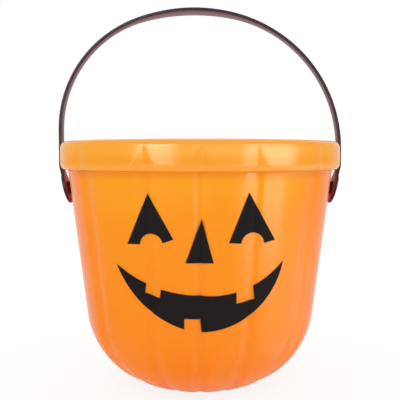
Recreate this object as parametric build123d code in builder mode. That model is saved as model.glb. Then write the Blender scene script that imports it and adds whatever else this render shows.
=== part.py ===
import os
from math import asin, cos, radians, sin, sqrt, tan

from build123d import *

# Pumpkin candy pail. Millimetres. Base on z = 0, face towards -Y, handle axis along X.

# Pail shell, blow moulded in one skin
rim_radius = 95.8  # to the crests of the lobes
pail_height = 164.6
rim_band = 18.9  # height of the bulging rim
rim_step = 5.4  # how far the rim stands out past the wall
rim_lower_round = 3.6
rim_upper_round = 4.2
lip_width = 6.6  # outside of the rim to the trimmed edge of the mouth
wall_taper = 7.1  # degrees from upright
corner_radius = 57.5  # big round between wall and base
foot_sink = 2.3  # how much of the round the flat foot cuts off
skin = 1.8  # thickness of the moulded plastic
groove_depth = 1.0  # from a lobe to the crease beside it
foot_groove_depth = 0.9
groove_spread = 3.6  # degrees, over which a lobe rolls down into a crease
quarter_grooves = (0.0, 21.8, 51.6, 80.0)  # degrees from the front, same in each quarter
corner_steps = 5
round_steps = 5  # narrow sloping strips that make up a round edge
foot_ring = 6.5  # width of the flat ring that the pail stands on
push_up_height = 3.0  # hollow in the middle of the base
push_up_draft = 30.0  # degrees

# Pinch-off weld that the mould leaves across the base
weld_share = 0.8  # of the hollow's width
weld_width = 1.2
weld_height = 0.6

# Handle strap, moulded flat and bent over
strap_thick = 2.0
rise_share = 0.929  # top of the arch above the rim, in half widths of the arch
strap_gap = 0.5  # leg to rim
crown_share = 1.298  # outer radius over the hand, in half widths of the arch
left_shoulder_share = 0.824  # outer radius at the shoulders; the soft arch leans to the left
right_shoulder_share = 0.978
lean_share = 0.04
grip_width = 18.0
leg_width = 10.4
grip_share = 0.62  # part of the arch's half width that the wide grip fades over

# Round paddle at each end of the strap
pivot_drop = 31.6  # below the top of the rim
paddle_radius = 11.0
paddle_stand = 5.8  # outer face of the paddle off the wall, at the pivot
paddle_tilt = 14.0  # degrees, lower end towards the wall
bend_round = 14.0  # outer radius of the bend beside the rim
boss_radius = 4.6
boss_gap = 0.4  # boss to wall, where they are nearest

# Snap rivets that the handle turns on
rivet_radius = 2.4
rivet_fit = 0.05  # tight in the paddle
rivet_play = 0.3  # loose in the wall
head_radius = 4.2
head_thick = 1.0
head_dome = 0.4
seat_drop = 0.2  # the head's seat below the middle of the paddle's face
seat_room = 0.3
barb_radius = 3.4
barb_length = 5.5
barb_tip_radius = 1.7
barb_land = 0.8
barb_gap = 0.3
slot_width = 1.0

# Face, four black vinyl pieces that follow the wall
vinyl = 0.3
glue = 0.05
eye_width = 27.7
eye_height = 30.4
left_eye_corner = (-43.2, 102.7)  # lower left of its box, across and up
right_eye_corner = (16.9, 103.7)
left_eye_shares = ((0.462, 1.0), (0.0, 0.0), (0.282, 0.01), (0.769, 0.046), (1.0, 0.125))
left_notch_share = (0.52, 0.227)  # top of the round notch
right_eye_shares = ((0.419, 0.99), (0.0, 0.023), (0.26, 0.007), (0.758, -0.003), (1.0, 0.049))
right_notch_share = (0.495, 0.214)
nose_corner = (-8.5, 92.6)
nose_width = 16.5
nose_height = 25.7
nose_tip_share = 0.576
mouth_corner = (-50.4, 89.7)  # left tip
mouth_width = 100.5
mouth_drop = 39.5  # left tip to the lowest point
right_tip_share = (1.0, 0.048)  # shares of the mouth's width and drop, from the left tip
upper_lip_shares = ((0.183, -0.263), (0.5, -0.42), (0.817, -0.294))
lower_lip_shares = ((0.888, -0.544), (0.46, -0.98), (0.155, -0.575))
left_tooth_shares = ((0.191, -0.1), (0.176, -0.405), (0.264, -0.478), (0.288, -0.1))
right_tooth_shares = ((0.713, -0.1), (0.717, -0.562), (0.824, -0.506), (0.811, -0.1))
lower_tooth_shares = ((0.407, -1.15), (0.409, -0.782), (0.503, -0.787), (0.516, -1.15))

overrun = 5.0
quarter_turn = 90
half_turn = 180
full_turn = 360


def around(angle, radius):
    turn = radians(angle)
    return (radius * sin(turn), -radius * cos(turn))


# Crease angles all the way round, clockwise from the front seen from below
groove_angles = sorted(
    {
        turn % full_turn
        for angle in quarter_grooves
        for turn in (angle, half_turn - angle, half_turn + angle, full_turn - angle)
    }
)


# Closed outline at one height: lobes that roll down into the creases, and a flat pad at each end of the handle
def lobed_face(crest_radius, depth, height):
    crease_radius = crest_radius - depth
    with BuildSketch(Plane.XY.offset(height), mode=Mode.PRIVATE) as outline:
        with BuildLine():
            for first, last in zip(groove_angles, groove_angles[1:] + [full_turn]):
                middle = (first + last) / 2
                start = around(first, crease_radius)
                end = around(last, crease_radius)
                if middle % half_turn == quarter_turn:
                    ThreePointArc(start, around(middle, crease_radius), end)
                else:
                    rise = first + groove_spread
                    fall = last - groove_spread
                    TangentArc(around(rise, crest_radius), start, tangent=around(rise - quarter_turn, 1))
                    ThreePointArc(around(rise, crest_radius), around(middle, crest_radius), around(fall, crest_radius))
                    TangentArc(around(fall, crest_radius), end, tangent=around(fall + quarter_turn, 1))
        make_face()
    return outline.sketch


# Meridian of the shell, worked out from the sizes above
rim_under = pail_height - rim_band
wall_top_radius = rim_radius - rim_step
mouth_radius = rim_radius - lip_width
taper = radians(wall_taper)
corner_height = corner_radius - foot_sink
corner_reach = wall_top_radius - (rim_under - corner_height) * tan(taper) - corner_radius / cos(taper)
wall_foot = corner_height - corner_radius * sin(taper)


def wall_radius(height):
    return wall_top_radius - (rim_under - height) * tan(taper)


# Crest radius, crease depth and height of the sections round the corner, floor first
def corner_sections(inset, floor):
    round_radius = corner_radius - inset
    floor_angle = asin((corner_height - floor) / round_radius)
    sections = []
    for step in range(corner_steps + 1):
        share = step / corner_steps
        angle = floor_angle + (taper - floor_angle) * share
        depth = foot_groove_depth + (groove_depth - foot_groove_depth) * share
        height = corner_height - round_radius * sin(angle)
        sections.append((corner_reach + round_radius * cos(angle), depth, height))
    return sections


# The same for a round edge of the rim, from the rim's side to its top or underside
def rim_sections(edge_round, start, way):
    sections = []
    for step in range(round_steps + 1):
        angle = radians(quarter_turn * step / round_steps)
        inset = edge_round * (1 - cos(angle))
        sections.append((rim_radius - inset, groove_depth, start + way * edge_round * sin(angle)))
    return sections


upper_edge = rim_sections(rim_upper_round, pail_height - rim_upper_round, 1)
lower_edge = rim_sections(rim_lower_round, rim_under + rim_lower_round, -1)
outer_corner = corner_sections(0, 0)
inner_corner = corner_sections(skin, skin)
wall_inset = skin / cos(taper)  # thickness of the sloping wall, measured level
push_up_base = outer_corner[0][0] - foot_ring
push_up_radius = push_up_base - push_up_height * tan(radians(push_up_draft))

# Where the wall stands beside the pivot
pivot_height = pail_height - pivot_drop
crease_wall = wall_radius(pivot_height) - groove_depth
boss_end = crease_wall + boss_radius * tan(taper) + boss_gap
paddle_reach = crease_wall + paddle_stand
head_seat = paddle_reach - seat_drop
barb_seat = crease_wall - wall_inset - barb_radius * tan(taper) - barb_gap
barb_tip = barb_seat - barb_length
hole_radius = rivet_radius + rivet_play

# Middle line of the strap, from the sizes of its outer face
half_thick = strap_thick / 2
tilt = radians(paddle_tilt)
strap_reach = rim_radius - groove_depth + strap_gap + strap_thick
strap_top = pail_height + rise_share * strap_reach
crown_arc = crown_share * strap_reach
crown_lean = lean_share * strap_reach
leg_reach = strap_reach - half_thick
paddle_middle = paddle_reach - half_thick / cos(tilt)
bend_height = pivot_height + (leg_reach - paddle_middle) / tan(tilt)
bend_length = (bend_round - half_thick) * tan(tilt / 2)
crown_height = strap_top - crown_arc
grip_reach = grip_share * strap_reach


# Height where a leg becomes the shoulder's arc, and the point where that meets the crown's arc
def shoulder(side, shoulder_arc):
    arc_step = crown_arc - shoulder_arc
    across = side * (strap_reach - shoulder_arc) + crown_lean
    up = sqrt(arc_step**2 - across**2)
    share = (crown_arc - half_thick) / arc_step
    return crown_height + up, (across * share - crown_lean, crown_height + up * share)


def in_box(corner, width, height, share):
    return (corner[0] + width * share[0], corner[1] + height * share[1])


# Room inside the shell: round corner, wall, rim channel and mouth
with BuildPart() as inside:
    loft([lobed_face(*section) for section in inner_corner])
    wall_start = inner_corner[-1]
    wall_end = (wall_top_radius - wall_inset, groove_depth, rim_under)
    loft([lobed_face(*wall_start), lobed_face(*wall_end)], ruled=True)
    extrude(lobed_face(mouth_radius, groove_depth, rim_under), amount=rim_band + overrun)
    extrude(lobed_face(rim_radius - skin, groove_depth, rim_under + skin), amount=rim_band - skin - skin)
    with BuildSketch():
        Circle(push_up_base + skin)
    extrude(amount=push_up_height + skin, taper=push_up_draft, mode=Mode.SUBTRACT)

# Pail shell
with BuildPart() as pail_shell:
    loft([lobed_face(*section) for section in outer_corner])
    wall_end = (wall_top_radius, groove_depth, rim_under)
    loft([lobed_face(*outer_corner[-1]), lobed_face(*wall_end)], ruled=True)
    loft([lobed_face(*section) for section in reversed(lower_edge)], ruled=True)
    loft([lobed_face(*lower_edge[0]), lobed_face(*upper_edge[0])], ruled=True)
    loft([lobed_face(*section) for section in upper_edge], ruled=True)
    add(inside.part, mode=Mode.SUBTRACT)
    with BuildSketch():
        Circle(push_up_base)
    extrude(amount=push_up_height, taper=push_up_draft, mode=Mode.SUBTRACT)
    with BuildSketch(Plane.XY.offset(push_up_height - weld_height)):
        Rectangle(push_up_radius * 2 * weld_share, weld_width)
    extrude(amount=weld_height + skin / 2)
    with BuildSketch(Plane.YZ):
        with Locations((0, pivot_height)):
            Circle(hole_radius)
    extrude(amount=rim_radius, both=True, mode=Mode.SUBTRACT)

# Round paddle on the right end of the strap
with BuildPart() as paddle:
    middle_place = (paddle_middle, 0, pivot_height)
    with BuildSketch(Plane(origin=middle_place, x_dir=(0, 1, 0), z_dir=(cos(tilt), 0, -sin(tilt)))):
        Circle(paddle_radius)
    extrude(amount=half_thick, both=True)

# Handle strap
with BuildPart() as handle_strap:
    right_leg_top, right_meet = shoulder(1, right_shoulder_share * strap_reach)
    left_leg_top, left_meet = shoulder(-1, left_shoulder_share * strap_reach)
    low_bend = (leg_reach - bend_length * sin(tilt), bend_height - bend_length * cos(tilt))
    high_bend = (leg_reach, bend_height + bend_length)
    with BuildLine(Plane.XZ) as path:
        Line((-paddle_middle, pivot_height), (-low_bend[0], low_bend[1]))
        TangentArc((-low_bend[0], low_bend[1]), (-high_bend[0], high_bend[1]), tangent=(-sin(tilt), cos(tilt)))
        Line((-high_bend[0], high_bend[1]), (-leg_reach, left_leg_top))
        TangentArc((-leg_reach, left_leg_top), left_meet, tangent=(0, 1))
        ThreePointArc(left_meet, (-crown_lean, strap_top - half_thick), right_meet)
        TangentArc((leg_reach, right_leg_top), right_meet, tangent=(0, 1))
        Line((leg_reach, right_leg_top), high_bend)
        TangentArc(low_bend, high_bend, tangent=(sin(tilt), cos(tilt)))
        Line(low_bend, (paddle_middle, pivot_height))
    start = Plane(origin=(-paddle_middle, 0, pivot_height), x_dir=(0, 1, 0), z_dir=(-sin(tilt), 0, cos(tilt)))
    with BuildSketch(start):
        Rectangle(grip_width, strap_thick)
    sweep(path=path.wires()[0])
    with BuildSketch():
        with BuildLine():
            Polyline(
                (-grip_reach, leg_width / 2),
                (-strap_reach - overrun, leg_width / 2),
                (-strap_reach - overrun, -leg_width / 2),
                (-grip_reach, -leg_width / 2),
            )
            Spline(
                (-grip_reach, -leg_width / 2),
                (-crown_lean, -grip_width / 2),
                (grip_reach, -leg_width / 2),
                tangents=((1, 0), (1, 0)),
            )
            Polyline(
                (grip_reach, -leg_width / 2),
                (strap_reach + overrun, -leg_width / 2),
                (strap_reach + overrun, leg_width / 2),
                (grip_reach, leg_width / 2),
            )
            Spline(
                (grip_reach, leg_width / 2),
                (-crown_lean, grip_width / 2),
                (-grip_reach, leg_width / 2),
                tangents=((-1, 0), (-1, 0)),
            )
        make_face()
    extrude(amount=strap_top + overrun, mode=Mode.INTERSECT)
    add(paddle.part)
    add(mirror(paddle.part, about=Plane.YZ))
    for side in (-1, 1):
        with BuildSketch(Plane(origin=(side * boss_end, 0, pivot_height), z_dir=(side, 0, 0))):
            Circle(boss_radius)
        extrude(amount=head_seat - boss_end)
        with BuildSketch(Plane(origin=(side * head_seat, 0, pivot_height), z_dir=(side, 0, 0))):
            Circle(head_radius + seat_room)
        extrude(amount=overrun, mode=Mode.SUBTRACT)
    with BuildSketch(Plane.YZ):
        with Locations((0, pivot_height)):
            Circle(rivet_radius + rivet_fit)
    extrude(amount=strap_reach + overrun, both=True, mode=Mode.SUBTRACT)

# Snap rivet on the right: domed head, shank, and a split barb inside the pail
with BuildPart() as right_rivet:
    with BuildSketch(Plane(origin=(0, 0, pivot_height), x_dir=(1, 0, 0), z_dir=(0, -1, 0))):
        with BuildLine():
            Polyline(
                (head_seat + head_thick, 0),
                (barb_tip, 0),
                (barb_tip, barb_tip_radius),
                (barb_seat - barb_land, barb_radius),
                (barb_seat, barb_radius),
                (barb_seat, rivet_radius),
                (head_seat, rivet_radius),
                (head_seat, head_radius),
                (head_seat + head_thick - head_dome, head_radius),
            )
            TangentArc(
                (head_seat + head_thick, 0),
                (head_seat + head_thick - head_dome, head_radius),
                tangent=(0, 1),
            )
        make_face()
    revolve(axis=Axis((0, 0, pivot_height), (1, 0, 0)))
    with BuildSketch(Plane(origin=(barb_tip, 0, pivot_height), z_dir=(1, 0, 0))):
        Rectangle(slot_width, barb_radius * 2 + overrun)
    extrude(amount=barb_length + wall_inset, mode=Mode.SUBTRACT)

# Snap rivet on the left
with BuildPart() as left_rivet:
    add(mirror(right_rivet.part, about=Plane.YZ))

# Vinyl skin over the straight part of the wall, cut to make the four pieces of the face
with BuildPart() as vinyl_skin:
    low = (wall_radius(wall_foot), groove_depth, wall_foot)
    high = (wall_top_radius, groove_depth, rim_under)
    loft([lobed_face(end[0] + glue + vinyl, end[1], end[2]) for end in (low, high)], ruled=True)
    loft([lobed_face(end[0] + glue, end[1], end[2]) for end in (low, high)], ruled=True, mode=Mode.SUBTRACT)

with BuildPart() as left_eye:
    add(vinyl_skin.part)
    eye_points = [in_box(left_eye_corner, eye_width, eye_height, share) for share in left_eye_shares]
    notch_top = in_box(left_eye_corner, eye_width, eye_height, left_notch_share)
    with BuildSketch(Plane.XZ):
        with BuildLine():
            Polyline(eye_points[3], eye_points[4], eye_points[0], eye_points[1], eye_points[2])
            ThreePointArc(eye_points[2], notch_top, eye_points[3])
        make_face()
    extrude(amount=rim_radius, mode=Mode.INTERSECT)

with BuildPart() as right_eye:
    add(vinyl_skin.part)
    eye_points = [in_box(right_eye_corner, eye_width, eye_height, share) for share in right_eye_shares]
    notch_top = in_box(right_eye_corner, eye_width, eye_height, right_notch_share)
    with BuildSketch(Plane.XZ):
        with BuildLine():
            Polyline(eye_points[3], eye_points[4], eye_points[0], eye_points[1], eye_points[2])
            ThreePointArc(eye_points[2], notch_top, eye_points[3])
        make_face()
    extrude(amount=rim_radius, mode=Mode.INTERSECT)

with BuildPart() as nose:
    add(vinyl_skin.part)
    nose_shares = ((nose_tip_share, 1), (0, 0), (1, 0))
    with BuildSketch(Plane.XZ):
        Polygon(*[in_box(nose_corner, nose_width, nose_height, share) for share in nose_shares], align=None)
    extrude(amount=rim_radius, mode=Mode.INTERSECT)

with BuildPart() as mouth:
    add(vinyl_skin.part)
    right_tip = in_box(mouth_corner, mouth_width, mouth_drop, right_tip_share)
    upper_lip = [in_box(mouth_corner, mouth_width, mouth_drop, share) for share in upper_lip_shares]
    lower_lip = [in_box(mouth_corner, mouth_width, mouth_drop, share) for share in lower_lip_shares]
    with BuildSketch(Plane.XZ):
        with BuildLine():
            ThreePointArc(mouth_corner, upper_lip[0], upper_lip[1])
            ThreePointArc(upper_lip[1], upper_lip[2], right_tip)
            ThreePointArc(right_tip, lower_lip[0], lower_lip[1])
            ThreePointArc(lower_lip[1], lower_lip[2], mouth_corner)
        make_face()
        for tooth_shares in (left_tooth_shares, right_tooth_shares, lower_tooth_shares):
            tooth = [in_box(mouth_corner, mouth_width, mouth_drop, share) for share in tooth_shares]
            Polygon(*tooth, align=None, mode=Mode.SUBTRACT)
    extrude(amount=rim_radius, mode=Mode.INTERSECT)

os.makedirs("parts", exist_ok=True)
pail_shell.part.label = "pail_shell"
export_step(pail_shell.part, "parts/pail_shell.step")
handle_strap.part.label = "handle_strap"
export_step(handle_strap.part, "parts/handle_strap.step")
left_rivet.part.label = "left_handle_rivet"
export_step(left_rivet.part, "parts/left_handle_rivet.step")
right_rivet.part.label = "right_handle_rivet"
export_step(right_rivet.part, "parts/right_handle_rivet.step")
left_eye.part.label = "left_eye"
export_step(left_eye.part, "parts/left_eye.step")
right_eye.part.label = "right_eye"
export_step(right_eye.part, "parts/right_eye.step")
nose.part.label = "nose"
export_step(nose.part, "parts/nose.step")
mouth.part.label = "mouth"
export_step(mouth.part, "parts/mouth.step")
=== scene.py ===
import math

import bpy
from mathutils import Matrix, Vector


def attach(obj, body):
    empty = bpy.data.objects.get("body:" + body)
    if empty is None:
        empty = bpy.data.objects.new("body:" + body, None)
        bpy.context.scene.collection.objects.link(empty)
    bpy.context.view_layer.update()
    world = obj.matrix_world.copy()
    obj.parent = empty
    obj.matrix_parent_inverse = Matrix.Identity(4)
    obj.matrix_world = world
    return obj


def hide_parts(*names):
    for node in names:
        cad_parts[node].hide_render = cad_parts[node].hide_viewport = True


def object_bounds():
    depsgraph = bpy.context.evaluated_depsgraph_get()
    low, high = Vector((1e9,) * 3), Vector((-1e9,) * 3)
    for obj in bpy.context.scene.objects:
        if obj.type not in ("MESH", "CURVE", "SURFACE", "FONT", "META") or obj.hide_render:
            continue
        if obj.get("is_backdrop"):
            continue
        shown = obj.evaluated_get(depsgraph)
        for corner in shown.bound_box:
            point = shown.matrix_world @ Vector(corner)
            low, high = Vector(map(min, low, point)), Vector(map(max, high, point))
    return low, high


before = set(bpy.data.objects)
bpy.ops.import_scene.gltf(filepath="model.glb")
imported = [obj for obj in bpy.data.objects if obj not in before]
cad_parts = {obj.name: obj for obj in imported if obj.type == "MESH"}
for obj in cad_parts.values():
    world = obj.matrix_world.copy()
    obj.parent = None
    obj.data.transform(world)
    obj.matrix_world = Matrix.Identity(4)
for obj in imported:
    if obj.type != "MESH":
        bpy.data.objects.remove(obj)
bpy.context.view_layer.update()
scene = bpy.context.scene
scene.view_settings.view_transform = "Standard"


def linear(text):  # sRGB hex to linear colour
    parts = [int(text[i : i + 2], 16) / 255 for i in (1, 3, 5)]
    return [c / 12.92 if c <= 0.04045 else ((c + 0.055) / 1.055) ** 2.4 for c in parts] + [1]


def addNode(tree, kind, inputs=None, **settings):  # a socket is linked, anything else is a value
    node = tree.nodes.new(kind)
    for name, value in settings.items():
        setattr(node, name, value)
    for key, value in (inputs or {}).items():
        if isinstance(value, bpy.types.NodeSocket):
            tree.links.new(value, node.inputs[key])
        else:
            node.inputs[key].default_value = value
    return node


def newMaterial(name):
    material = bpy.data.materials.new(name)
    material.use_nodes = True
    tree = material.node_tree
    tree.nodes.clear()
    return material, tree


def newTree(name, sizes):  # geometry tree with one named input per size
    tree = bpy.data.node_groups.new(name, "GeometryNodeTree")
    tree.interface.new_socket("Geometry", in_out="INPUT", socket_type="NodeSocketGeometry")
    tree.interface.new_socket("Geometry", in_out="OUTPUT", socket_type="NodeSocketGeometry")
    for label, value in sizes.items():
        kind = "NodeSocketInt" if isinstance(value, int) else "NodeSocketFloat"
        tree.interface.new_socket(label, in_out="INPUT", socket_type=kind)
    tree.interface.new_socket("Material", in_out="INPUT", socket_type="NodeSocketMaterial")
    return tree, tree.nodes.new("NodeGroupInput").outputs


def endTree(tree, given, mesh):  # smooth up to the given angle, then plain and painted
    bend = addNode(tree, "GeometryNodeInputMeshEdgeAngle").outputs["Unsigned Angle"]
    soft = addNode(tree, "FunctionNodeCompare", {
        0: bend, 1: given["Smooth Angle"],
    }, operation="LESS_THAN").outputs[0]
    mesh = addNode(tree, "GeometryNodeSetShadeSmooth", {"Geometry": mesh}, domain="FACE").outputs[0]
    mesh = addNode(tree, "GeometryNodeSetShadeSmooth", {
        "Geometry": mesh, "Shade Smooth": soft,
    }, domain="EDGE").outputs[0]
    mesh = addNode(tree, "GeometryNodeRealizeInstances", {0: mesh}).outputs[0]
    mesh = addNode(tree, "GeometryNodeSetMaterial", {"Geometry": mesh, "Material": given["Material"]}).outputs[0]
    addNode(tree, "NodeGroupOutput", {0: mesh})


def grow(name, points, rounds, tree, sizes, material):  # runs a tree on a line of points, gives a plain mesh
    line = bpy.data.meshes.new(name)
    line.from_pydata(points, [(i, i + 1) for i in range(len(points) - 1)], [])
    line.attributes.new("cornerRound", "FLOAT", "POINT").data.foreach_set("value", rounds)
    piece = bpy.data.objects.new(name, line)
    scene.collection.objects.link(piece)
    modifier = piece.modifiers.new(name, "NODES")
    modifier.node_group = tree
    wanted = {**sizes, "Material": material}
    for socket in tree.interface.items_tree:
        if socket.in_out == "INPUT" and socket.name in wanted:
            modifier[socket.identifier] = wanted[socket.name]
    bpy.context.view_layer.update()
    evaluated = piece.evaluated_get(bpy.context.evaluated_depsgraph_get())
    grown = bpy.data.meshes.new_from_object(evaluated)
    piece.modifiers.remove(modifier)
    piece.data = grown
    print(name, len(grown.polygons), "faces")
    return piece


# Blow moulded polyethylene: satin, a little cloudy, deeper in colour towards the base
pailFinish = {
    "cloudScale": 22, "cloudLow": 0.3, "cloudHigh": 0.7, "cloudShift": 0.05,  # clouds of 45 mm
    "height": 0.165,  # the stops below are shares of it, with the colour and how much of it covers
    "wall": [(0, "#FF861E", 1), (0.7, "#FA960A", 1), (0.85, "#FAA20C", 1), (1, "#FBA61C", 1)],
    "rim": [  # painted shade, deep under the rim; a painted highlight, pale on the rim's lower edge; paler at its top
        (0.85, "#EC7210", 0), (0.874, "#EC7A10", 0.4), (0.8825, "#EC7A10", 0.4), (0.8845, "#FAA840", 1),
        (0.895, "#FAA840", 1), (0.918, "#F89C1E", 1), (0.955, "#F8A830", 1), (1, "#F6A43A", 1),
    ],
    "sides": "#FF7A22", "sideShadeFrom": 0.05, "sideShadeFull": 0.09, "sideShadeShare": 0.7,  # painted shade, deeper and redder on the pail's left and right sides
    "rippleScale": 420, "seamHalf": 0.0004, "seamHeight": 2.5,  # ripple of 2.4 mm, parting line of the mould
}
polyethylene, tree = newMaterial("polyethyleneBlowMoulded")
place = addNode(tree, "ShaderNodeTexCoord").outputs["Object"]
axes = addNode(tree, "ShaderNodeSeparateXYZ", {0: place}).outputs
cloud = addNode(tree, "ShaderNodeTexNoise", {
    "Vector": place, "Scale": pailFinish["cloudScale"], "Detail": 2,
}).outputs["Fac"]
cloud = addNode(tree, "ShaderNodeMapRange", {
    0: cloud, 1: pailFinish["cloudLow"], 2: pailFinish["cloudHigh"],
    3: -pailFinish["cloudShift"], 4: pailFinish["cloudShift"],
}).outputs[0]
height = addNode(tree, "ShaderNodeMapRange", {0: axes["Z"], 1: 0, 2: pailFinish["height"]}).outputs[0]
level = addNode(tree, "ShaderNodeMath", {0: height, 1: cloud}, operation="ADD").outputs[0]
wallRamp = addNode(tree, "ShaderNodeValToRGB", {0: level})
rimShadeAndHighlightRamp = addNode(tree, "ShaderNodeValToRGB", {0: height})
for ramp, stops in ((wallRamp, pailFinish["wall"]), (rimShadeAndHighlightRamp, pailFinish["rim"])):
    elements = ramp.color_ramp.elements
    for index, (stop, text, share) in enumerate((stops[0], stops[-1])):
        elements[index].position = stop
        elements[index].color = linear(text)[:3] + [share]
    for stop, text, share in stops[1:-1]:
        elements.new(stop).color = linear(text)[:3] + [share]
# Painted shade: the colour deepens towards the left and right sides of the pail
away = addNode(tree, "ShaderNodeMath", {0: axes["X"]}, operation="ABSOLUTE").outputs[0]
sideShade = addNode(tree, "ShaderNodeMapRange", {
    0: away, 1: pailFinish["sideShadeFrom"], 2: pailFinish["sideShadeFull"], 3: 0, 4: pailFinish["sideShadeShare"],
}, interpolation_type="SMOOTHSTEP").outputs[0]
colour = addNode(tree, "ShaderNodeMix", {
    0: sideShade, 6: wallRamp.outputs["Color"], 7: linear(pailFinish["sides"]),
}, data_type="RGBA").outputs[2]
# Painted shade under the rim and a painted highlight on its lower edge, laid over the wall colour
colour = addNode(tree, "ShaderNodeMix", {
    0: rimShadeAndHighlightRamp.outputs["Alpha"], 6: colour, 7: rimShadeAndHighlightRamp.outputs["Color"],
}, data_type="RGBA").outputs[2]
ripple = addNode(tree, "ShaderNodeTexNoise", {
    "Vector": place, "Scale": pailFinish["rippleScale"], "Detail": 3,
}).outputs["Fac"]
across = addNode(tree, "ShaderNodeMath", {0: axes["Y"]}, operation="ABSOLUTE").outputs[0]
seam = addNode(tree, "ShaderNodeMapRange", {
    0: across, 1: pailFinish["seamHalf"], 2: 0, 3: 0, 4: pailFinish["seamHeight"],
}).outputs[0]
relief = addNode(tree, "ShaderNodeMath", {0: ripple, 1: seam}, operation="ADD").outputs[0]
bump = addNode(tree, "ShaderNodeBump", {"Height": relief, "Strength": 0.35, "Distance": 0.00006}).outputs[0]
shader = addNode(tree, "ShaderNodeBsdfPrincipled", {
    "Base Color": colour, "Roughness": 0.22, "IOR": 1.5, "Normal": bump,
    "Subsurface Weight": 0.12, "Subsurface Radius": (1, 0.4, 0.1), "Subsurface Scale": 0.003,
})
addNode(tree, "ShaderNodeOutputMaterial", {0: shader.outputs[0]})

# Injection moulded polypropylene: black, satin, with the mould's fine grain and a reddish bloom at low angles, and
# a painted red reflection of the pail near its ends
strapFinish = {
    "grainScale": 900, "smoothest": 0.36, "roughest": 0.46,  # grain of 1 mm, coarser than life
    "black": "#2E272B", "bounceRed": "#A01C1E", "bounceRedFrom": 0.165, "bounceRedFull": 0.15,  # painted reflection of the pail's orange light, red on the faces turned to the pail beside it
}
polypropylene, tree = newMaterial("polypropyleneBlack")
place = addNode(tree, "ShaderNodeTexCoord").outputs["Object"]
grain = addNode(tree, "ShaderNodeTexNoise", {
    "Vector": place, "Scale": strapFinish["grainScale"], "Detail": 2,
}).outputs["Fac"]
rough = addNode(tree, "ShaderNodeMapRange", {
    0: grain, 3: strapFinish["smoothest"], 4: strapFinish["roughest"],
}).outputs[0]
bump = addNode(tree, "ShaderNodeBump", {"Height": grain, "Strength": 0.1, "Distance": 0.00005}).outputs[0]
axes = addNode(tree, "ShaderNodeSeparateXYZ", {0: place}).outputs
# Painted reflection: faces turned to the pail near the strap's ends are coloured red, standing in for the pail's
# orange light
end = addNode(tree, "ShaderNodeMapRange", {
    0: axes["Z"], 1: strapFinish["bounceRedFrom"], 2: strapFinish["bounceRedFull"],
}, interpolation_type="SMOOTHSTEP").outputs[0]
bounceMask = addNode(tree, "ShaderNodeAttribute", attribute_name="towardsPail").outputs["Fac"]
bounceMask = addNode(tree, "ShaderNodeMath", {0: bounceMask, 1: end}, operation="MULTIPLY").outputs[0]
colour = addNode(tree, "ShaderNodeMix", {
    0: bounceMask, 6: linear(strapFinish["black"]), 7: linear(strapFinish["bounceRed"]),
}, data_type="RGBA").outputs[2]
shader = addNode(tree, "ShaderNodeBsdfPrincipled", {
    "Base Color": colour, "Roughness": rough, "Specular IOR Level": 0.3, "Normal": bump,
    "Sheen Weight": 0.45, "Sheen Roughness": 0.45, "Sheen Tint": linear("#DE8DA2"),
})
addNode(tree, "ShaderNodeOutputMaterial", {0: shader.outputs[0]})

# Injection moulded nylon: black, a touch glossier than the strap
rivetFinish = {"grainScale": 700, "smoothest": 0.22, "roughest": 0.34}  # grain of 1.4 mm, coarser than life
nylon, tree = newMaterial("nylonBlack")
place = addNode(tree, "ShaderNodeTexCoord").outputs["Object"]
grain = addNode(tree, "ShaderNodeTexNoise", {
    "Vector": place, "Scale": rivetFinish["grainScale"], "Detail": 2,
}).outputs["Fac"]
rough = addNode(tree, "ShaderNodeMapRange", {
    0: grain, 3: rivetFinish["smoothest"], 4: rivetFinish["roughest"],
}).outputs[0]
shader = addNode(tree, "ShaderNodeBsdfPrincipled", {"Base Color": linear("#221C20"), "Roughness": rough})
addNode(tree, "ShaderNodeOutputMaterial", {0: shader.outputs[0]})

# Self-adhesive vinyl: matt black film with a faint orange-peel surface
faceFinish = {"peelScale": 600, "smoothest": 0.68, "roughest": 0.78}  # peel of 1.7 mm
vinyl, tree = newMaterial("vinylMattBlack")
place = addNode(tree, "ShaderNodeTexCoord").outputs["Object"]
peel = addNode(tree, "ShaderNodeTexNoise", {
    "Vector": place, "Scale": faceFinish["peelScale"], "Detail": 2,
}).outputs["Fac"]
rough = addNode(tree, "ShaderNodeMapRange", {
    0: peel, 3: faceFinish["smoothest"], 4: faceFinish["roughest"],
}).outputs[0]
bump = addNode(tree, "ShaderNodeBump", {"Height": peel, "Strength": 0.2, "Distance": 0.00004}).outputs[0]
shader = addNode(tree, "ShaderNodeBsdfPrincipled", {
    "Base Color": linear("#1D191A"), "Roughness": rough, "Specular IOR Level": 0.08, "Normal": bump,
})
addNode(tree, "ShaderNodeOutputMaterial", {0: shader.outputs[0]})
print("materials made")

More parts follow.
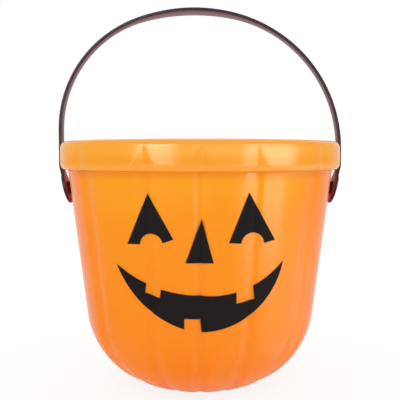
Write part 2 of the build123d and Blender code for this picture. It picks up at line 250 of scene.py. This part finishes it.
# Pail shell: the meridian is a line of corners, and the tree wraps it round and draws in the creases
pail = {
    "height": 0.1646, "rimUnder": 0.1457, "rimRadius": 0.0958, "mouthRadius": 0.0892,
    "rimUpperRound": 0.0042, "rimLowerRound": 0.0036, "underRound": 0.001, "edgeRound": 0.0005,
    "wallTop": 0.0904, "taper": math.radians(7.1), "cornerRadius": 0.0575, "footSink": 0.0023,
    "skin": 0.0018, "pushUp": 0.003, "pushUpTop": 0.02907, "pushUpFoot": 0.0308, "pushUpRound": 0.0008,
    "rimCrown": 0.0006, "rimCrownRound": 0.08, "outerSteps": 26, "innerSteps": 12,
}
shellSizes = {
    "Columns": 721, "Round Steps": 4, "Smooth Angle": math.radians(32), "Merge Distance": 0.00002,
    "First Crease": math.radians(21.8), "Second Crease": math.radians(51.6), "Third Crease": math.radians(80),
    "Crease Softness": math.radians(0.7), "Groove Spread": math.radians(3.6), "Second Width": 1.6,
    "Lobe Depth": 0.001, "Middle Depth": 1.4, "Foot Depth": 0.0016, "Foot Flare": 1.9, "Wall Foot": 0.048,
    "Rim Below": 0.144, "Rim Above": 0.147, "Rim Narrows": 0.1475, "Rim Apex": 0.1615, "Apex Width": 0.1,
    "Rim Flare": 1.4, "Rim Depth": 1.5, "Rim Shift": math.radians(1.7),
    "Foot Inside": 0.031, "Foot Outside": 0.036,
    "Pivot Height": 0.133, "Hole Radius": 0.0027, "Hole Sides": 40, "Drill Length": 0.25,
}
tree, given = newTree("lobedShell", shellSizes)
curve = addNode(tree, "GeometryNodeMeshToCurve", {0: given["Geometry"]}).outputs[0]
rounds = addNode(tree, "GeometryNodeInputNamedAttribute", {"Name": "cornerRound"}, data_type="FLOAT").outputs[0]
fillet = addNode(tree, "GeometryNodeFilletCurve", {
    "Curve": curve, "Count": given["Round Steps"], "Radius": rounds, "Limit Radius": True,
}, mode="POLY").outputs[0]
rows = addNode(tree, "GeometryNodeAttributeDomainSize", {0: fillet}, component="CURVE").outputs["Point Count"]
grid = addNode(tree, "GeometryNodeMeshGrid", {"Vertices X": given["Columns"], "Vertices Y": rows}).outputs[0]
index = addNode(tree, "GeometryNodeInputIndex").outputs[0]
column = addNode(tree, "FunctionNodeIntegerMath", {0: index, 1: rows}, operation="DIVIDE_FLOOR").outputs[0]
row = addNode(tree, "FunctionNodeIntegerMath", {0: index, 1: rows}, operation="MODULO").outputs[0]
place = addNode(tree, "GeometryNodeInputPosition").outputs[0]
meridian = addNode(tree, "GeometryNodeSampleIndex", {
    "Geometry": fillet, "Value": place, "Index": row,
}, data_type="FLOAT_VECTOR").outputs[0]
axes = addNode(tree, "ShaderNodeSeparateXYZ", {0: meridian}).outputs
last = addNode(tree, "FunctionNodeIntegerMath", {0: given["Columns"], 1: 1}, operation="SUBTRACT").outputs[0]
turn = addNode(tree, "ShaderNodeMapRange", {0: column, 1: 0, 2: last, 3: 0, 4: 2 * math.pi}).outputs[0]
sine = addNode(tree, "ShaderNodeMath", {0: turn}, operation="SINE").outputs[0]
cosine = addNode(tree, "ShaderNodeMath", {0: turn}, operation="COSINE").outputs[0]
mirrored = addNode(tree, "ShaderNodeMath", {0: sine, 1: -1}, operation="MULTIPLY").outputs[0]
side = addNode(tree, "ShaderNodeMath", {0: sine, 1: mirrored}, operation="MAXIMUM").outputs[0]
# The fold is 0 in front and behind, and 90 degrees at the handle
fold = addNode(tree, "ShaderNodeMath", {0: side}, operation="ARCSINE").outputs[0]
upWall = addNode(tree, "ShaderNodeMapRange", {0: axes["Z"], 1: 0, 2: given["Wall Foot"]}).outputs[0]
onRim = addNode(tree, "ShaderNodeMapRange", {
    0: axes["Z"], 1: given["Rim Below"], 2: given["Rim Above"],
}).outputs[0]
shifted = addNode(tree, "ShaderNodeMath", {0: onRim, 1: given["Rim Shift"]}, operation="MULTIPLY").outputs[0]
shifted = addNode(tree, "ShaderNodeMath", {0: given["First Crease"], 1: shifted}, operation="SUBTRACT").outputs[0]
nearest = 1  # radians, further than any crease
for crease, share in ((0, 1), (shifted, 1), (given["Second Crease"], given["Second Width"])):
    past = addNode(tree, "ShaderNodeMath", {0: fold, 1: crease}, operation="SUBTRACT").outputs[0]
    short = addNode(tree, "ShaderNodeMath", {0: crease, 1: fold}, operation="SUBTRACT").outputs[0]
    away = addNode(tree, "ShaderNodeMath", {
        0: past, 1: short, 2: given["Crease Softness"],
    }, operation="SMOOTH_MAX").outputs[0]
    away = addNode(tree, "ShaderNodeMath", {0: away, 1: share}, operation="DIVIDE").outputs[0]
    nearest = addNode(tree, "ShaderNodeMath", {0: away, 1: nearest}, operation="MINIMUM").outputs[0]
widen = addNode(tree, "ShaderNodeMapRange", {0: onRim, 3: 1, 4: given["Rim Flare"]}).outputs[0]
narrow = addNode(tree, "ShaderNodeMapRange", {
    0: axes["Z"], 1: given["Rim Narrows"], 2: given["Rim Apex"], 3: 1, 4: given["Apex Width"],
}).outputs[0]
footWiden = addNode(tree, "ShaderNodeMapRange", {0: upWall, 3: given["Foot Flare"], 4: 1}).outputs[0]
spread = given["Groove Spread"]
for share in (widen, narrow, footWiden):
    spread = addNode(tree, "ShaderNodeMath", {0: spread, 1: share}, operation="MULTIPLY").outputs[0]
# A smooth maximum leaves a sixth of its softness at the bottom of a crease
least = addNode(tree, "ShaderNodeMath", {0: given["Crease Softness"], 1: 6}, operation="DIVIDE").outputs[0]
roll = addNode(tree, "ShaderNodeMapRange", {0: nearest, 1: least, 2: spread, 3: 1, 4: 0}).outputs[0]
# Round creases on the wall, deeper in the middle
rolled = addNode(tree, "ShaderNodeMapRange", {0: roll}, interpolation_type="SMOOTHSTEP").outputs[0]
middle = addNode(tree, "ShaderNodeMapRange", {0: upWall, 3: 1, 4: given["Middle Depth"]}).outputs[0]
middle = addNode(tree, "ShaderNodeMapRange", {
    0: fold, 1: given["Groove Spread"], 2: given["First Crease"], 3: middle, 4: 1,
}).outputs[0]
rolled = addNode(tree, "ShaderNodeMath", {0: rolled, 1: middle}, operation="MULTIPLY").outputs[0]
# Sharp ones on the rim, running out at its top
sharp = addNode(tree, "ShaderNodeMath", {0: roll, 1: given["Rim Depth"]}, operation="MULTIPLY").outputs[0]
sharp = addNode(tree, "ShaderNodeMath", {0: sharp, 1: narrow}, operation="MULTIPLY").outputs[0]
hollow = addNode(tree, "ShaderNodeMix", {0: onRim, 2: rolled, 3: sharp}).outputs[0]
# Flat at the handle
padEdge = addNode(tree, "ShaderNodeMath", {
    0: given["Third Crease"], 1: given["Groove Spread"],
}, operation="SUBTRACT").outputs[0]
pad = addNode(tree, "ShaderNodeMapRange", {0: fold, 1: padEdge, 2: given["Third Crease"]}).outputs[0]
pad = addNode(tree, "ShaderNodeMath", {0: pad, 1: pad}, operation="MULTIPLY").outputs[0]
hollow = addNode(tree, "ShaderNodeMath", {0: hollow, 1: pad}, operation="MAXIMUM").outputs[0]
depth = addNode(tree, "ShaderNodeMapRange", {0: upWall, 3: given["Foot Depth"], 4: given["Lobe Depth"]}).outputs[0]
fade = addNode(tree, "ShaderNodeMapRange", {
    0: axes["X"], 1: given["Foot Inside"], 2: given["Foot Outside"],
}, interpolation_type="SMOOTHSTEP").outputs[0]
drawn = addNode(tree, "ShaderNodeMath", {0: depth, 1: fade}, operation="MULTIPLY").outputs[0]
drawn = addNode(tree, "ShaderNodeMath", {0: drawn, 1: hollow}, operation="MULTIPLY").outputs[0]
radius = addNode(tree, "ShaderNodeMath", {0: axes["X"], 1: drawn}, operation="SUBTRACT").outputs[0]
right = addNode(tree, "ShaderNodeMath", {0: radius, 1: sine}, operation="MULTIPLY").outputs[0]
front = addNode(tree, "ShaderNodeMath", {0: radius, 1: cosine}, operation="MULTIPLY").outputs[0]
back = addNode(tree, "ShaderNodeMath", {0: front, 1: -1}, operation="MULTIPLY").outputs[0]
spot = addNode(tree, "ShaderNodeCombineXYZ", {0: right, 1: back, 2: axes["Z"]}).outputs[0]
wrapped = addNode(tree, "GeometryNodeSetPosition", {"Geometry": grid, "Position": spot}).outputs[0]
joined = addNode(tree, "GeometryNodeMergeByDistance", {
    "Geometry": wrapped, "Distance": given["Merge Distance"],
}).outputs[0]
drill = addNode(tree, "GeometryNodeMeshCylinder", {
    "Vertices": given["Hole Sides"], "Radius": given["Hole Radius"], "Depth": given["Drill Length"],
}).outputs["Mesh"]
spot = addNode(tree, "ShaderNodeCombineXYZ", {2: given["Pivot Height"]}).outputs[0]
drill = addNode(tree, "GeometryNodeTransform", {
    "Geometry": drill, "Translation": spot, "Rotation": (0, math.pi / 2, 0),
}).outputs[0]
drilled = addNode(tree, "GeometryNodeMeshBoolean", {
    "Mesh 1": joined, "Mesh 2": drill,
}, operation="DIFFERENCE", solver="EXACT").outputs[0]
endTree(tree, given, drilled)

taper, skin = pail["taper"], pail["skin"]
cornerHeight = pail["cornerRadius"] - pail["footSink"]
cornerReach = pail["wallTop"] - (pail["rimUnder"] - cornerHeight) * math.tan(taper)
cornerReach -= pail["cornerRadius"] / math.cos(taper)
outside, inside = [], []
# Base round, then wall
for corner, inset, steps in ((outside, 0, pail["outerSteps"]), (inside, skin, pail["innerSteps"])):
    radius = pail["cornerRadius"] - inset
    low = math.asin((cornerHeight - inset) / radius)
    for step in range(steps + 1):
        angle = low + (taper - low) * step / steps
        corner.append((cornerReach + radius * math.cos(angle), cornerHeight - radius * math.sin(angle), 0))
    foot = corner[-1]
    top = (pail["wallTop"] - inset / math.cos(taper), pail["rimUnder"])
    for step in range(1, steps // 2):
        share = 2 * step / steps
        corner.append((foot[0] + (top[0] - foot[0]) * share, foot[1] + (top[1] - foot[1]) * share, 0))
rimMiddle = (pail["height"] + pail["rimUnder"]) / 2
wallInside = pail["wallTop"] - skin / math.cos(taper) + skin * math.tan(taper)
corners = [  # radius, height and round of each corner
    (0, pail["pushUp"], 0),
    (pail["pushUpTop"], pail["pushUp"], pail["pushUpRound"]),
    (pail["pushUpFoot"], 0, pail["pushUpRound"]),
    *outside,
    (pail["wallTop"], pail["rimUnder"], pail["underRound"]),
    (pail["rimRadius"] - pail["rimCrown"], pail["rimUnder"], pail["rimLowerRound"]),
    (pail["rimRadius"], rimMiddle, pail["rimCrownRound"]),
    (pail["rimRadius"] - pail["rimCrown"], pail["height"], pail["rimUpperRound"]),
    (pail["mouthRadius"], pail["height"], pail["edgeRound"]),
    (pail["mouthRadius"], pail["height"] - skin, pail["edgeRound"]),
    (pail["rimRadius"] - skin, pail["height"] - skin, pail["rimUpperRound"] - skin),
    (pail["rimRadius"] - skin, rimMiddle, 0),
    (pail["rimRadius"] - skin, pail["rimUnder"] + skin, pail["rimLowerRound"] - skin),
    (wallInside, pail["rimUnder"] + skin, pail["underRound"]),
    *reversed(inside),
    (pail["pushUpFoot"] + skin, skin, pail["pushUpRound"]),
    (pail["pushUpTop"] + skin, pail["pushUp"] + skin, pail["pushUpRound"]),
    (0, pail["pushUp"] + skin, 0),
]
points = [(reach, 0, rise) for reach, rise, _ in corners]
shell = grow("pailShell", points, [corner[2] for corner in corners], tree, shellSizes, polyethylene)
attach(shell, "pail")
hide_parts("pail_shell")
print("pail shell made")

# Strap: a flat band swept along its bent line, wider over the hand, with a round paddle and a boss at each end
strap = {
    "reach": 0.0973, "top": 0.255, "crownArc": 0.1263, "leftArc": 0.0802, "rightArc": 0.0952, "lean": 0.0039,
    "bendRound": 0.013, "bendHeight": 0.14788, "steps": 30, "leastStep": 0.00005,
}
strapSizes = {
    "Thickness": 0.002, "Leg Width": 0.0104, "Grip Growth": 0.0038, "Grip Reach": 0.0603, "Lean": strap["lean"],
    "Edge Round": 0.0005, "Edge Steps": 3, "Smooth Angle": math.radians(35), "Pivot Height": 0.133,
    "Paddle Radius": 0.011, "Paddle Place": 0.09259, "Paddle Tilt": math.radians(14),
    "Paddle Sides": 96, "Paddle Rows": 12, "Paddle Swell": 1.001,  # a hair thicker than the band
    "Boss Radius": 0.0046, "Boss End": 0.0888, "Boss Sides": 64,
    "Head Seat": 0.09342, "Seat Radius": 0.0045, "Seat Length": 0.01,
    "Bore Radius": 0.00245, "Bore Sides": 48, "Bore Length": 0.25,
    "Inner From": -0.5, "Inner Full": -0.9,  # how far a face turns towards the pail
}
tree, given = newTree("bentStrap", strapSizes)
curve = addNode(tree, "GeometryNodeMeshToCurve", {0: given["Geometry"]}).outputs[0]
section = addNode(tree, "GeometryNodeCurvePrimitiveQuadrilateral", {
    "Width": given["Leg Width"], "Height": given["Thickness"],
}).outputs[0]
section = addNode(tree, "GeometryNodeFilletCurve", {
    "Curve": section, "Count": given["Edge Steps"], "Radius": given["Edge Round"],
}, mode="POLY").outputs[0]
band = addNode(tree, "GeometryNodeCurveToMesh", {
    "Curve": curve, "Profile Curve": section, "Fill Caps": True,
}).outputs[0]
place = addNode(tree, "GeometryNodeInputPosition").outputs[0]
axes = addNode(tree, "ShaderNodeSeparateXYZ", {0: place}).outputs
leaned = addNode(tree, "ShaderNodeMath", {0: axes["X"], 1: given["Lean"]}, operation="ADD").outputs[0]
leaned = addNode(tree, "ShaderNodeMath", {0: leaned}, operation="ABSOLUTE").outputs[0]
growth = addNode(tree, "ShaderNodeMapRange", {
    0: leaned, 1: 0, 2: given["Grip Reach"], 3: given["Grip Growth"], 4: 0,
}, interpolation_type="SMOOTHSTEP").outputs[0]
edge = addNode(tree, "ShaderNodeMath", {0: axes["Y"]}, operation="SIGN").outputs[0]
shift = addNode(tree, "ShaderNodeMath", {0: growth, 1: edge}, operation="MULTIPLY").outputs[0]
shift = addNode(tree, "ShaderNodeCombineXYZ", {1: shift}).outputs[0]
band = addNode(tree, "GeometryNodeSetPosition", {"Geometry": band, "Offset": shift}).outputs[0]
disc = addNode(tree, "GeometryNodeMeshCylinder", {
    "Vertices": given["Paddle Sides"], "Side Segments": given["Paddle Rows"],
    "Radius": given["Paddle Radius"], "Depth": given["Thickness"],
}).outputs["Mesh"]
half = addNode(tree, "ShaderNodeMath", {0: given["Thickness"], 1: 2}, operation="DIVIDE").outputs[0]
start = addNode(tree, "ShaderNodeMath", {0: half, 1: given["Edge Round"]}, operation="SUBTRACT").outputs[0]
rise = addNode(tree, "ShaderNodeMath", {0: axes["Z"]}, operation="ABSOLUTE").outputs[0]
rise = addNode(tree, "ShaderNodeMapRange", {0: rise, 1: start, 2: half}).outputs[0]  # 0 to 1 over the round edge
rise = addNode(tree, "ShaderNodeMath", {0: rise, 1: 2}, operation="POWER").outputs[0]
rise = addNode(tree, "ShaderNodeMath", {0: 1, 1: rise}, operation="SUBTRACT").outputs[0]
rise = addNode(tree, "ShaderNodeMath", {0: rise}, operation="SQRT").outputs[0]
rise = addNode(tree, "ShaderNodeMath", {0: 1, 1: rise}, operation="SUBTRACT").outputs[0]
trim = addNode(tree, "ShaderNodeMath", {0: rise, 1: given["Edge Round"]}, operation="MULTIPLY").outputs[0]
trim = addNode(tree, "ShaderNodeMath", {0: trim, 1: given["Paddle Radius"]}, operation="DIVIDE").outputs[0]
trim = addNode(tree, "ShaderNodeMath", {0: 1, 1: trim}, operation="SUBTRACT").outputs[0]
flat = addNode(tree, "ShaderNodeCombineXYZ", {0: trim, 1: trim, 2: given["Paddle Swell"]}).outputs[0]
spot = addNode(tree, "ShaderNodeVectorMath", {0: place, 1: flat}, operation="MULTIPLY").outputs[0]
disc = addNode(tree, "GeometryNodeSetPosition", {"Geometry": disc, "Position": spot}).outputs[0]
level = addNode(tree, "ShaderNodeMath", {0: given["Paddle Tilt"], 1: math.pi / 2}, operation="ADD").outputs[0]
level = addNode(tree, "ShaderNodeCombineXYZ", {1: level}).outputs[0]
spot = addNode(tree, "ShaderNodeCombineXYZ", {0: given["Paddle Place"], 2: given["Pivot Height"]}).outputs[0]
disc = addNode(tree, "GeometryNodeTransform", {
    "Geometry": disc, "Translation": spot, "Rotation": level,
}).outputs[0]
bossLength = addNode(tree, "ShaderNodeMath", {
    0: given["Head Seat"], 1: given["Boss End"],
}, operation="SUBTRACT").outputs[0]
bossCentre = addNode(tree, "ShaderNodeMath", {
    0: given["Head Seat"], 1: given["Boss End"],
}, operation="ADD").outputs[0]
bossCentre = addNode(tree, "ShaderNodeMath", {0: bossCentre, 1: 2}, operation="DIVIDE").outputs[0]
seatHalf = addNode(tree, "ShaderNodeMath", {0: given["Seat Length"], 1: 2}, operation="DIVIDE").outputs[0]
seatCentre = addNode(tree, "ShaderNodeMath", {0: given["Head Seat"], 1: seatHalf}, operation="ADD").outputs[0]
rods = []
for sides, radius, length, centre in (
    (given["Boss Sides"], given["Boss Radius"], bossLength, bossCentre),
    (given["Boss Sides"], given["Seat Radius"], given["Seat Length"], seatCentre),
    (given["Bore Sides"], given["Bore Radius"], given["Bore Length"], 0),
):  # rods along the pivot
    rod = addNode(tree, "GeometryNodeMeshCylinder", {
        "Vertices": sides, "Radius": radius, "Depth": length,
    }).outputs["Mesh"]
    spot = addNode(tree, "ShaderNodeCombineXYZ", {0: centre, 2: given["Pivot Height"]}).outputs[0]
    rod = addNode(tree, "GeometryNodeTransform", {
        "Geometry": rod, "Translation": spot, "Rotation": (0, math.pi / 2, 0),
    }).outputs[0]
    rods.append(rod)
boss, seat, bore = rods
union = addNode(tree, "GeometryNodeMeshBoolean", operation="UNION", solver="EXACT")
cut = addNode(tree, "GeometryNodeMeshBoolean", {
    "Mesh 1": union.outputs[0], "Mesh 2": bore,
}, operation="DIFFERENCE", solver="EXACT")
tree.links.new(band, union.inputs["Mesh 2"])
for shape, target in ((disc, union), (boss, union), (seat, cut)):  # right side, then its mirror image
    other = addNode(tree, "GeometryNodeTransform", {"Geometry": shape, "Scale": (-1, 1, 1)}).outputs[0]
    other = addNode(tree, "GeometryNodeFlipFaces", {0: other}).outputs[0]
    tree.links.new(shape, target.inputs["Mesh 2"])
    tree.links.new(other, target.inputs["Mesh 2"])
facing = addNode(tree, "GeometryNodeInputNormal").outputs[0]
facing = addNode(tree, "ShaderNodeSeparateXYZ", {0: facing}).outputs["X"]
side = addNode(tree, "ShaderNodeMath", {0: axes["X"]}, operation="SIGN").outputs[0]
facing = addNode(tree, "ShaderNodeMath", {0: facing, 1: side}, operation="MULTIPLY").outputs[0]
facing = addNode(tree, "ShaderNodeMapRange", {
    0: facing, 1: given["Inner From"], 2: given["Inner Full"],
}).outputs[0]  # 1 on faces towards the pail
marked = addNode(tree, "GeometryNodeStoreNamedAttribute", {
    "Geometry": cut.outputs[0], "Name": "towardsPail", "Value": facing,
}, data_type="FLOAT", domain="FACE").outputs[0]
endTree(tree, given, marked)

half = strapSizes["Thickness"] / 2
tilt = strapSizes["Paddle Tilt"]
crownHeight = strap["top"] - strap["crownArc"]
legReach = strap["reach"] - half
highBend = strap["bendHeight"] + strap["bendRound"] * math.tan(tilt / 2)
meets = []
for side, shoulderArc in ((1, strap["rightArc"]), (-1, strap["leftArc"])):
    across = side * (strap["reach"] - shoulderArc) + strap["lean"]
    up = math.sqrt((strap["crownArc"] - shoulderArc) ** 2 - across**2)
    meets.append((across - strap["lean"], crownHeight + up, shoulderArc - half, math.atan2(up, across)))
rightMeet, leftMeet = meets
arcs = [  # centre, radius, first and last angle
    (legReach - strap["bendRound"], highBend, strap["bendRound"], -tilt, 0),
    (*rightMeet[:3], 0, rightMeet[3]),
    (-strap["lean"], crownHeight, strap["crownArc"] - half, rightMeet[3], leftMeet[3]),
    (*leftMeet[:3], leftMeet[3], math.pi),
    (strap["bendRound"] - legReach, highBend, strap["bendRound"], math.pi, math.pi + tilt),
]
line = [(strapSizes["Paddle Place"], 0, strapSizes["Pivot Height"])]
for across, up, radius, first, last in arcs:
    for step in range(strap["steps"] + 1):
        angle = first + (last - first) * step / strap["steps"]
        point = (across + radius * math.cos(angle), 0, up + radius * math.sin(angle))
        if math.dist(point, line[-1]) > strap["leastStep"]:
            line.append(point)
line.append((-strapSizes["Paddle Place"], 0, strapSizes["Pivot Height"]))
band = grow("handleStrap", line, [0] * len(line), tree, strapSizes, polypropylene)
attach(band, "handle")
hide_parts("handle_strap")
print("strap made")

# Rivets and face keep the CAD shapes
for name, material in (
    ("left_handle_rivet", nylon), ("right_handle_rivet", nylon),
    ("left_eye", vinyl), ("right_eye", vinyl), ("nose", vinyl), ("mouth", vinyl),
):
    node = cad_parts[name]
    node.data.materials.clear()
    node.data.materials.append(material)
print("rivets and face painted")

# Floor: white card, kept white to the camera with a faint shadow
sweep = {"size": 8, "colour": "#FFFFFF", "glowShare": 0.85}
bpy.ops.mesh.primitive_plane_add(size=sweep["size"])
floor = bpy.context.object
floor.name = "floor"
floorPaint, tree = newMaterial("whiteSweep")
card = addNode(tree, "ShaderNodeBsdfDiffuse", {"Color": linear(sweep["colour"])})
glow = addNode(tree, "ShaderNodeEmission", {"Color": linear(sweep["colour"]), "Strength": 1})
path = addNode(tree, "ShaderNodeLightPath").outputs
share = addNode(tree, "ShaderNodeMath", {
    0: path["Is Camera Ray"], 1: sweep["glowShare"],
}, operation="MULTIPLY").outputs[0]
shader = addNode(tree, "ShaderNodeMixShader", {0: share, 1: card.outputs[0], 2: glow.outputs[0]})
addNode(tree, "ShaderNodeOutputMaterial", {0: shader.outputs[0]})
floor.data.materials.append(floorPaint)
floor.visible_glossy = False
floor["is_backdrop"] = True

# Studio: white all round for soft light, dim in front, with soft boxes that only show in the gloss
studio = {
    "white": (1, 1, 1, 1), "diffuse": 1.09, "front": 0.04, "behind": 0.95, "gather": 8,
    "floorLevel": 0.8, "floorGlow": "#FFB389", "floorFull": -34, "floorEnd": -14,  # degrees up
    "boxes": [  # degrees to the right and up, soft edge, strength; the last two are the lit floor
        {"across": (31, 79), "up": (-23.5, 8), "edge": 8, "strength": 3.2},
        {"across": (30, 84), "up": (-8, 34), "edge": 8, "strength": 4.6},
        {"across": (-50, -17), "up": (-12, 34), "edge": 7, "strength": 5.5},
        {"across": (-56, -17), "up": (6, 34), "edge": 7, "strength": 6},
        {"across": (-12, 34), "up": (-6, 30), "edge": 8, "strength": 1.2},
        {"across": (62, 130), "up": (-50, -8), "edge": 10, "strength": 0.7},
        {"across": (-200, -60), "up": (-95, -20), "edge": 20, "strength": 0.2},
        {"across": (20, 200), "up": (-95, -24), "edge": 20, "strength": 0.28},
    ],
}
world = bpy.data.worlds.new("studio")
world.use_nodes = True
tree = world.node_tree
tree.nodes.clear()
direction = addNode(tree, "ShaderNodeTexCoord").outputs["Generated"]
axes = addNode(tree, "ShaderNodeSeparateXYZ", {0: direction}).outputs
ahead = addNode(tree, "ShaderNodeMath", {0: axes["Y"], 1: -1}, operation="MULTIPLY").outputs[0]
across = addNode(tree, "ShaderNodeMath", {0: axes["X"], 1: ahead}, operation="ARCTAN2").outputs[0]
up = addNode(tree, "ShaderNodeMath", {0: axes["Z"]}, operation="ARCSINE").outputs[0]
# White behind the pail, dimmer on the floor and there in the pail's own colour
far = addNode(tree, "ShaderNodeMath", {0: across, 1: 2}, operation="DIVIDE").outputs[0]
far = addNode(tree, "ShaderNodeMath", {0: far}, operation="SINE").outputs[0]
far = addNode(tree, "ShaderNodeMath", {0: far, 1: studio["gather"]}, operation="POWER").outputs[0]
clear = addNode(tree, "ShaderNodeMapRange", {
    0: up, 1: math.radians(studio["floorFull"]), 2: math.radians(studio["floorEnd"]),
}, interpolation_type="SMOOTHSTEP").outputs[0]
level = addNode(tree, "ShaderNodeMapRange", {0: clear, 3: studio["floorLevel"], 4: 1}).outputs[0]
far = addNode(tree, "ShaderNodeMath", {0: far, 1: level}, operation="MULTIPLY").outputs[0]
far = addNode(tree, "ShaderNodeMapRange", {0: far, 3: studio["front"], 4: studio["behind"]}).outputs[0]
tint = addNode(tree, "ShaderNodeMix", {
    0: clear, 6: linear(studio["floorGlow"]), 7: studio["white"],
}, data_type="RGBA").outputs[2]
far = addNode(tree, "ShaderNodeVectorMath", {0: tint, "Scale": far}, operation="SCALE").outputs[0]
gloss = 0
for box in studio["boxes"]:
    glow = box["strength"]
    soft = math.radians(box["edge"])
    for angle, limits in ((across, box["across"]), (up, box["up"])):
        low, high = (math.radians(limit) for limit in limits)
        for start, end in ((low, low + soft), (high, high - soft)):
            part = addNode(tree, "ShaderNodeMapRange", {
                0: angle, 1: start, 2: end,
            }, interpolation_type="SMOOTHSTEP").outputs[0]
            glow = addNode(tree, "ShaderNodeMath", {0: part, 1: glow}, operation="MULTIPLY").outputs[0]
    gloss = addNode(tree, "ShaderNodeMath", {0: gloss, 1: glow}, operation="ADD").outputs[0]
gloss = addNode(tree, "ShaderNodeVectorMath", {0: far, 1: gloss}, operation="ADD").outputs[0]
path = addNode(tree, "ShaderNodeLightPath").outputs
colour = addNode(tree, "ShaderNodeMix", {
    0: path["Is Glossy Ray"], 6: [studio["diffuse"]] * 3 + [1], 7: gloss,
}, data_type="RGBA").outputs[2]
colour = addNode(tree, "ShaderNodeMix", {
    0: path["Is Camera Ray"], 6: colour, 7: studio["white"],
}, data_type="RGBA").outputs[2]
light = addNode(tree, "ShaderNodeBackground", {"Color": colour, "Strength": 1})
addNode(tree, "ShaderNodeOutputWorld", {0: light.outputs[0]})
scene.world = world

# Camera, close in front and level with the rim
view = {"place": (0, -0.48, 0.15453), "pitch": math.radians(3.622), "lens": 61.9, "sensor": 36}
cameraData = bpy.data.cameras.new("camera")
cameraData.sensor_width = view["sensor"]
cameraData.lens = view["lens"]
camera = bpy.data.objects.new("camera", cameraData)
camera.location = view["place"]
camera.rotation_euler = (math.pi / 2 - view["pitch"], 0, 0)
scene.collection.objects.link(camera)
scene.camera = camera
print("studio made")

low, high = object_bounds()
